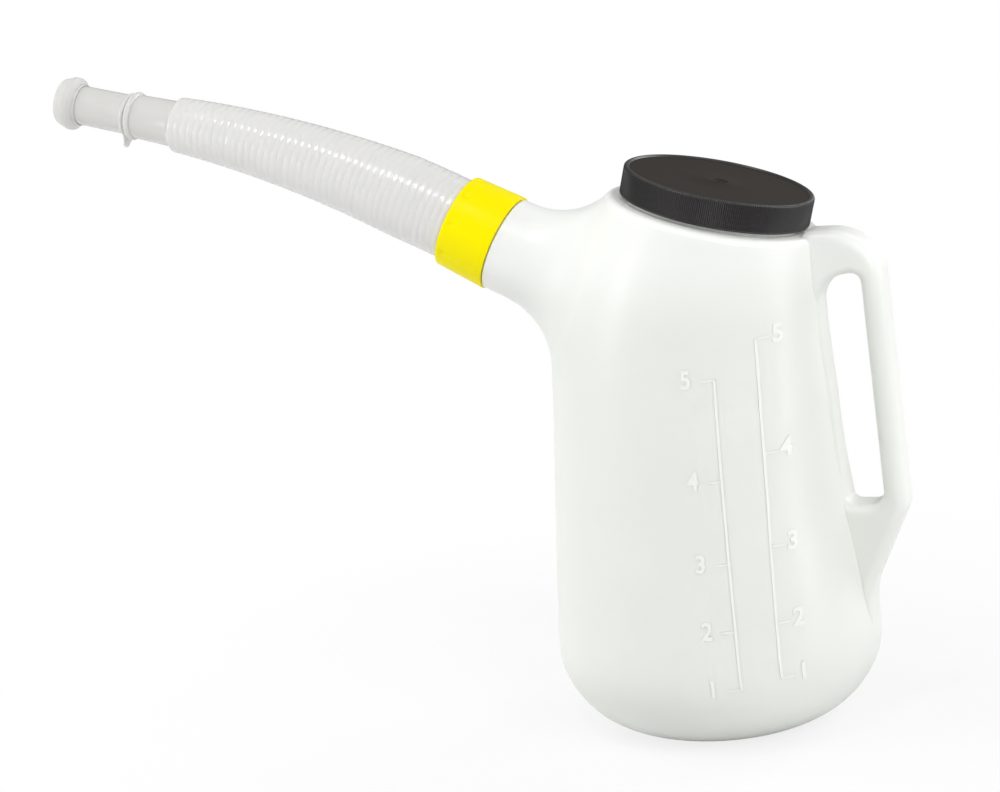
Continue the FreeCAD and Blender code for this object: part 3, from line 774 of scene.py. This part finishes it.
class JUG_OT_scales(bpy.types.Operator):
    """Raise the two graduated scales on the body's near side"""

    bl_idname = "jug.scales"
    bl_label = "Scales"

    # (x, z) of each mark on its line, from 5 down to 1
    LITRES = ((0.0521, 0.2344), (0.0534, 0.1713), (0.0548, 0.1200), (0.0564, 0.0779),
              (0.0576, 0.0473))
    QUARTS = ((0.0308, 0.2149), (0.0321, 0.1594), (0.0341, 0.1138), (0.0360, 0.0766),
              (0.0374, 0.0440))

    def execute(self, context):
        look = context.scene.jug_scales
        surface = BVHTree.FromObject(frame["nodes"]["jug_body"], context.evaluated_depsgraph_get())
        # lighter than the wall: thicker plastic, and partly a painted highlight on the raised
        # marks
        finish = Finish("scale_relief", look.colour, 0.34)
        finish.vary_roughness(finish.noise(0.01), 0.3, 0.4)
        for name, marks, side, numeral_place in (
                ("litre_scale", self.LITRES, 1, look.litre_numerals),
                ("quart_scale", self.QUARTS, -1, look.quart_numerals)):
            flat = bmesh.new()
            for upper, lower in zip(marks, marks[1:]):
                flat_bar(flat, upper, lower, look.line_width, steps=12)
            for value, (x, z) in zip(range(5, 0, -1), marks):
                squeeze = abs(wall_at(surface, x, z)[1].y)
                end = (x + side * look.tick_length * squeeze, z)
                flat_bar(flat, (x, z), end, look.tick_width, steps=3)
                middle = (x + side * numeral_place * squeeze, z + look.numeral_rise)
                flat_numeral(flat, str(value), middle, look.numeral_height, squeeze)
            relief = emboss(flat, surface, look.relief, MARK_ROOT)
            add_piece(name, [relief], finish.material, "jug")
        return {"FINISHED"}


class JUG_OT_lid(bpy.types.Operator):
    """Build the knurled lid with its thread, and give the seal its foam"""

    bl_idname = "jug.lid"
    bl_label = "Lid and seal"

    def execute(self, context):
        look = context.scene.jug_lid
        body_look = context.scene.jug_body
        bore = LID_RADIUS - look.wall
        panel = LID_TOP - look.panel_depth
        ceiling = panel - look.plate
        rim = LID_RADIUS - look.rim_width
        outer = LID_RADIUS
        dish = look.dish_radius
        rows = [(ceiling, 0), (ceiling, bore - 0.8 * MM), (ceiling - 0.8 * MM, bore),
                (LID_FOOT + 0.5 * MM, bore), (LID_FOOT, bore + 0.5 * MM),
                (LID_FOOT, outer - 0.3 * MM),
                (LID_FOOT + 0.3 * MM, outer), (LID_FOOT + 1.0 * MM, outer),
                (LID_FOOT + 1.25 * MM, outer, 1), (LID_TOP - 1.6 * MM, outer, 1),
                (LID_TOP - 0.9 * MM, outer - 0.15 * MM, 1),
                (LID_TOP - 0.35 * MM, outer - 0.55 * MM, 0.8), (LID_TOP, outer - 1.2 * MM, 0.1),
                (LID_TOP, rim + 0.25 * MM), (LID_TOP - 0.25 * MM, rim),
                (panel + 0.3 * MM, rim - 0.15 * MM), (panel, rim - 0.5 * MM),
                (panel, rim * 0.5), (panel, dish + 0.8 * MM),
                (panel + 0.15 * MM, dish + 0.3 * MM), (panel - 0.35 * MM, dish - 0.6 * MM),
                (panel - 0.80 * MM, dish * 0.5), (panel - 0.85 * MM, 1.2 * MM),
                (panel - 0.50 * MM, 0.9 * MM), (panel - 0.50 * MM, 0.5 * MM),
                (panel - 0.9 * MM, 0.35 * MM), (panel - 0.9 * MM, 0)]
        phase = np.arange(look.rib_count * LID_STEPS_PER_RIB) * TURN / LID_STEPS_PER_RIB
        ripple = -look.rib_depth * (0.5 - 0.5 * np.cos(phase))
        shell = lathe(MOUTH, rows, ripple)
        thread = helix(MOUTH, bore, body_look.mouth_thread * LID_THREAD_SHARE,
                       foot=LID_FOOT + THREAD_MARGIN, top=ceiling - 3.0 * MM,
                       pitch=body_look.thread_pitch, phase=math.pi, inside=True)
        material = black_plastic("black_lid", look)
        add_piece("threaded_lid", [shell, thread], material, "lid", ["lid"])
        finish_node("lid_seal", foam("seal_foam"))
        return {"FINISHED"}


class JUG_OT_nut(bpy.types.Operator):
    """Build the yellow nut with its thread and dimples, and give the washer its rubber"""

    bl_idname = "jug.nut"
    bl_label = "Nut and washer"

    def execute(self, context):
        look = context.scene.jug_nut
        body_look = context.scene.jug_body
        bore = NUT_RADIUS - look.wall
        ceiling = NUT_END - look.end_wall
        far = NUT_RADIUS - look.taper
        dimple_at = NUT_END - DIMPLE_DISTANCE
        foot = NUT_FOOT - look.overlap
        profile = [(foot, bore, 0.5 * MM), (foot, NUT_RADIUS, 0.5 * MM),
                   (NUT_END, far, look.rounding), (NUT_END, look.hole_radius, 0.5 * MM),
                   (ceiling, look.hole_radius, 0.3 * MM), (ceiling, bore, 0.4 * MM)]
        rows = soften(profile, steps=5)
        # the rows that draw the dimples go in before the rounded edge at the hose
        outside = [i for i, row in enumerate(rows) if row[1] > bore + 1.2 * MM]
        edge = next(i for i in outside if rows[i][0] > NUT_END - 3 * MM)
        band = []
        for step in range(-4, 5):
            along = dimple_at + step * DIMPLE_STEP
            radius = NUT_RADIUS - look.taper * (along - NUT_FOOT) / (NUT_END - NUT_FOOT)
            band.append((along, radius, math.cos(step / 5 * math.pi / 2) ** 2))
        rows = rows[:edge] + band + rows[edge:]
        angle = np.arange(NUT_STEPS) * TURN / NUT_STEPS
        wave = np.cos(angle * look.dimple_count) * 0.5 + 0.5
        ripple = -look.dimple_depth * wave ** DIMPLE_SHARPNESS
        shell = lathe(NECK, rows, ripple)
        thread = helix(NECK, bore, body_look.neck_thread, foot=NUT_FOOT + THREAD_MARGIN,
                       top=WASHER_FOOT - 1.0 * MM, pitch=body_look.thread_pitch,
                       phase=math.pi, inside=True)
        material = yellow_plastic("yellow_nut", look)
        add_piece("threaded_nut", [shell, thread], material, "nut", ["collar_nut"])
        finish_node("spout_washer", rubber("washer_rubber"))
        return {"FINISHED"}


def hose_rows(look, per_rib, inset=0.0):
    """One side of the bellows, with rounded ribs and narrow grooves between them."""
    length = HOSE_END - HOSE_START
    rows = []
    for i in range(look.rib_count * per_rib + 1):
        share = i / (look.rib_count * per_rib)
        narrowed = max((share - STRAIGHT_SHARE) / (1 - STRAIGHT_SHARE), 0)
        crest = look.radius - look.taper * narrowed
        groove = (0.5 + 0.5 * math.cos(i * TURN / per_rib)) ** GROOVE_SHARPNESS
        rows.append((HOSE_START + length * share, crest - look.rib_depth * groove - inset))
    return rows


def nozzle_rows(look):
    """Outside of the nozzle from its shoulder to its tip, with the pair of beads."""
    tip = HOSE_END + CAP_END - NOZZLE_SETBACK
    bead = HOSE_END + BEAD_DISTANCE
    wide = look.nozzle_radius
    middle = wide - 0.6 * MM
    rows = [(HOSE_END + 0.9 * MM, wide + 1.3 * MM), (HOSE_END + 1.9 * MM, wide + 0.4 * MM),
            (HOSE_END + 3.2 * MM, wide), (HOSE_END + 16 * MM, wide - 0.3 * MM)]
    for step in range(9):
        turn = step / 8 * math.pi
        rows.append((bead - math.cos(turn) * 1.9 * MM, middle + math.sin(turn) * 1.5 * MM))
    for step in range(7):
        turn = step / 6 * math.pi
        rows.append((bead + SECOND_BEAD - math.cos(turn) * 1.3 * MM,
                     look.tip_radius + 0.4 * MM + math.sin(turn) * 1.1 * MM))
    rows += [(bead + 7.5 * MM, look.tip_radius + 0.15 * MM), (tip - 20 * MM, look.tip_radius),
             (tip, look.tip_radius)]
    return rows


def hanging_lug():
    """Waisted tongue under the beads, rounded all over."""
    centre, forward, upper = SPOUT.station(HOSE_END + BEAD_DISTANCE + SECOND_BEAD)
    # millimetres below the nozzle's axis, and back and forth from its second bead
    outline = ((11.6, -8.6, 4.4), (13.2, -5.0, 3.3), (15.0, -2.6, 2.5), (17.0, -1.2, 2.2),
               (19.2, -0.6, 2.1), (20.3, 0.2, 1.5))
    border = [(depth, back) for depth, back, _ in outline]
    border += [(depth, front) for depth, _, front in reversed(outline)]
    form = bmesh.new()
    rings = []
    for side in (-2.0 * MM, 2.0 * MM):
        rings.append([form.verts.new(centre - upper * (depth * MM) + forward * (on * MM)
                                     + SIDEWAYS * side) for depth, on in border])
    count = len(rings[0])
    for k in range(count):
        n = (k + 1) % count
        form.faces.new((rings[0][k], rings[0][n], rings[1][n], rings[1][k]))
    form.faces.new(rings[0])
    form.faces.new(reversed(rings[1]))
    bmesh.ops.recalc_face_normals(form, faces=form.faces)
    edges = [e for e in form.edges if len(e.link_faces) == 2
             and e.link_faces[0].normal.angle(e.link_faces[1].normal) > 1.0]
    bmesh.ops.bevel(form, geom=edges, offset=0.8 * MM, segments=3, affect="EDGES", profile=0.5)
    return form


class JUG_OT_spout(bpy.types.Operator):
    """Build the flexible spout: flange, ribbed hose, nozzle, beads and lug"""

    bl_idname = "jug.spout"
    bl_label = "Flexible spout"

    def execute(self, context):
        look = context.scene.jug_spout
        nut_look = context.scene.jug_nut
        flange = NUT_RADIUS - nut_look.wall - 0.4 * MM
        cuff = nut_look.hole_radius - 1.0 * MM
        flange_top = FLANGE_FOOT + 1.8 * MM
        head = [(FLANGE_FOOT, cuff - look.wall), (FLANGE_FOOT, flange - 0.3 * MM),
                (FLANGE_FOOT + 0.3 * MM, flange), (flange_top - 0.3 * MM, flange),
                (flange_top, flange - 0.3 * MM), (flange_top, cuff), (HOSE_START - 0.8 * MM, cuff)]
        nozzle = nozzle_rows(look)
        outside = head + hose_rows(look, per_rib=10) + nozzle
        nozzle_bore = look.tip_radius - NOZZLE_WALL
        tip = nozzle[-1][0]
        inside = [(tip, nozzle_bore), (HOSE_END + 32 * MM, nozzle_bore),
                  (HOSE_END + 28 * MM, look.nozzle_radius - 2.0 * MM),
                  (HOSE_END + 3.0 * MM, look.nozzle_radius - 1.4 * MM)]
        inside += reversed(hose_rows(look, per_rib=4, inset=look.wall))
        shell = lathe(SPOUT, outside + inside, np.zeros(ROUND_STEPS))
        material = milky_plastic("clear_spout", look, look.hose_colour)
        add_piece("ribbed_spout", [shell, hanging_lug()], material, "spout",
                  ["flexible_spout"], sharp=50)
        return {"FINISHED"}


class JUG_OT_cap(bpy.types.Operator):
    """Build the cap that pushes on to the nozzle"""

    bl_idname = "jug.cap"
    bl_label = "Nozzle cap"

    def execute(self, context):
        look = context.scene.jug_cap
        spout_look = context.scene.jug_spout
        bore = spout_look.tip_radius + look.fit
        profile = [(CAP_FOOT, bore, 0), (CAP_FOOT, bore + 0.5 * MM, 0.2 * MM),
                   (CAP_FOOT + 1.8 * MM, bore + 0.8 * MM, 2.0 * MM),
                   (CAP_FOOT + 4.6 * MM, CAP_RADIUS, 1.6 * MM),
                   (CAP_END - 6.5 * MM, CAP_RADIUS, 2.0 * MM),
                   (CAP_END, look.end_radius, 0.8 * MM), (CAP_END, 0, 0),
                   (CAP_END - look.plate, 0, 0), (CAP_END - look.plate, bore, 0.6 * MM)]
        rows = soften(profile, steps=6)
        start = next(i for i, row in enumerate(rows) if row[1] == 0)
        rows = rows[start + 1:] + rows[:start + 1]
        shell = lathe(NOZZLE, rows, np.zeros(ROUND_STEPS))
        material = milky_plastic("clear_cap", look)
        add_piece("push_cap", [shell], material, "cap", ["nozzle_cap"], sharp=50)
        return {"FINISHED"}


class JUG_OT_studio(bpy.types.Operator):
    """Set up the floor, the lamps, the white surround and the camera"""

    bl_idname = "jug.studio"
    bl_label = "Studio"

    # name, place, size, watts, seen in reflections
    LAMPS = (
        ("side_lamp", (1.15, -1.05, 1.05), (0.9, 0.9), 15.3, True),
        ("top_lamp", (-0.16, -0.78, 1.57), (0.4, 0.3), 5.5, True),
        ("left_lamp", (-1.70, -0.15, 1.00), (2.2, 2.2), 29.3, False),
        ("low_lamp", (-1.20, -0.85, 0.51), (0.3, 0.4), 1.8, True),
        ("right_lamp", (1.55, -0.13, 0.20), (0.3, 0.4), 2.6, True),
        ("back_lamp", (1.10, 1.30, 0.90), (1.0, 1.0), 15.5, True),
    )

    def execute(self, context):
        look = context.scene.jug_studio
        scene = context.scene
        scene.view_settings.view_transform = "Standard"
        self.add_floor(look)
        self.add_surround(scene, look)
        for lamp in self.LAMPS:
            self.add_lamp(look, *lamp)
        self.add_camera(scene, look)
        return {"FINISHED"}

    def add_floor(self, look):
        """Wide floor under the jug."""
        form = bmesh.new()
        bmesh.ops.create_grid(form, x_segments=8, y_segments=8, size=25.0)
        mesh = bpy.data.meshes.new("floor")
        form.to_mesh(mesh)
        form.free()
        mesh.materials.append(white_ground("pale_floor", look))
        floor = bpy.data.objects.new("floor", mesh)
        floor.location.z = cad_low.z
        bpy.context.scene.collection.objects.link(floor)

    def add_surround(self, scene, look):
        """Dim light from all round, behind a white that only the camera sees."""
        world = bpy.data.worlds.new("surround")
        world.use_nodes = True
        nodes, links = world.node_tree.nodes, world.node_tree.links
        dim = nodes["Background"]
        dim.inputs["Color"].default_value = (1, 1, 1, 1)
        dim.inputs["Strength"].default_value = look.surround
        white = nodes.new("ShaderNodeBackground")
        white.inputs["Color"].default_value = (1, 1, 1, 1)
        white.inputs["Strength"].default_value = 1.0
        mixed = nodes.new("ShaderNodeMixShader")
        path = nodes.new("ShaderNodeLightPath")
        links.new(path.outputs["Is Camera Ray"], mixed.inputs[0])
        links.new(dim.outputs[0], mixed.inputs[1])
        links.new(white.outputs[0], mixed.inputs[2])
        links.new(mixed.outputs[0], nodes["World Output"].inputs["Surface"])
        scene.world = world

    def add_lamp(self, look, name, place, size, power, mirrored):
        """Rectangular lamp aimed at the middle of the jug."""
        lamp = bpy.data.lights.new(name, "AREA")
        lamp.shape = "RECTANGLE"
        lamp.size, lamp.size_y = size
        lamp.energy = power * look.lamp_strength
        holder = bpy.data.objects.new(name, lamp)
        holder.location = place
        holder.visible_glossy = mirrored
        aim = (cad_low + cad_high) / 2 - Vector(place)
        holder.rotation_euler = aim.to_track_quat("-Z", "Y").to_euler()
        bpy.context.scene.collection.objects.link(holder)

    def add_camera(self, scene, look):
        """Camera at its place, turned by azimuth, elevation and roll."""
        camera = bpy.data.cameras.new("camera")
        camera.sensor_width = 36.0
        camera.lens = look.lens
        camera.clip_end = 100.0
        holder = bpy.data.objects.new("camera", camera)
        azimuth, elevation, roll = look.camera_azimuth, look.camera_elevation, look.camera_roll
        back = Vector((math.sin(azimuth) * math.cos(elevation),
                       -math.cos(azimuth) * math.cos(elevation), math.sin(elevation)))
        level = Vector((math.cos(azimuth), math.sin(azimuth), 0))
        upright = back.cross(level)
        right = level * math.cos(roll) - upright * math.sin(roll)
        up = level * math.sin(roll) + upright * math.cos(roll)
        turned = Matrix((right, up, back)).transposed().to_4x4()
        holder.matrix_world = Matrix.Translation(look.camera_place) @ turned
        scene.collection.objects.link(holder)
        scene.camera = holder


# ---- panel and registration ----
SETTINGS = {
    "jug_body": BodyLook,
    "jug_scales": ScaleLook,
    "jug_lid": LidLook,
    "jug_nut": NutLook,
    "jug_spout": SpoutLook,
    "jug_cap": CapLook,
    "jug_studio": StudioLook,
}
OPERATORS = (JUG_OT_body, JUG_OT_scales, JUG_OT_lid, JUG_OT_nut, JUG_OT_spout, JUG_OT_cap,
             JUG_OT_studio)


class JUG_PT_sidebar(bpy.types.Panel):
    """Pieces of the measuring jug and their settings"""

    bl_idname = "JUG_PT_sidebar"
    bl_label = "Measuring jug"
    bl_space_type = "VIEW_3D"
    bl_region_type = "UI"
    bl_category = "Jug"

    def draw(self, context):
        for operator, name in zip(OPERATORS, SETTINGS):
            box = self.layout.box()
            box.operator(operator.bl_idname)
            settings = getattr(context.scene, name)
            for field in settings.__annotations__:
                box.prop(settings, field)


def register():
    for name, group in SETTINGS.items():
        bpy.utils.register_class(group)
        setattr(bpy.types.Scene, name, PointerProperty(type=group))
    for cls in (*OPERATORS, JUG_PT_sidebar):
        bpy.utils.register_class(cls)


def unregister():
    for cls in (JUG_PT_sidebar, *reversed(OPERATORS)):
        bpy.utils.unregister_class(cls)
    for name, group in SETTINGS.items():
        delattr(bpy.types.Scene, name)
        bpy.utils.unregister_class(group)


def main():
    register()
    bpy.ops.jug.body()
    bpy.ops.jug.scales()
    bpy.ops.jug.lid()
    bpy.ops.jug.nut()
    bpy.ops.jug.spout()
    bpy.ops.jug.cap()
    bpy.ops.jug.studio()


if __name__ == "__main__":
    main()
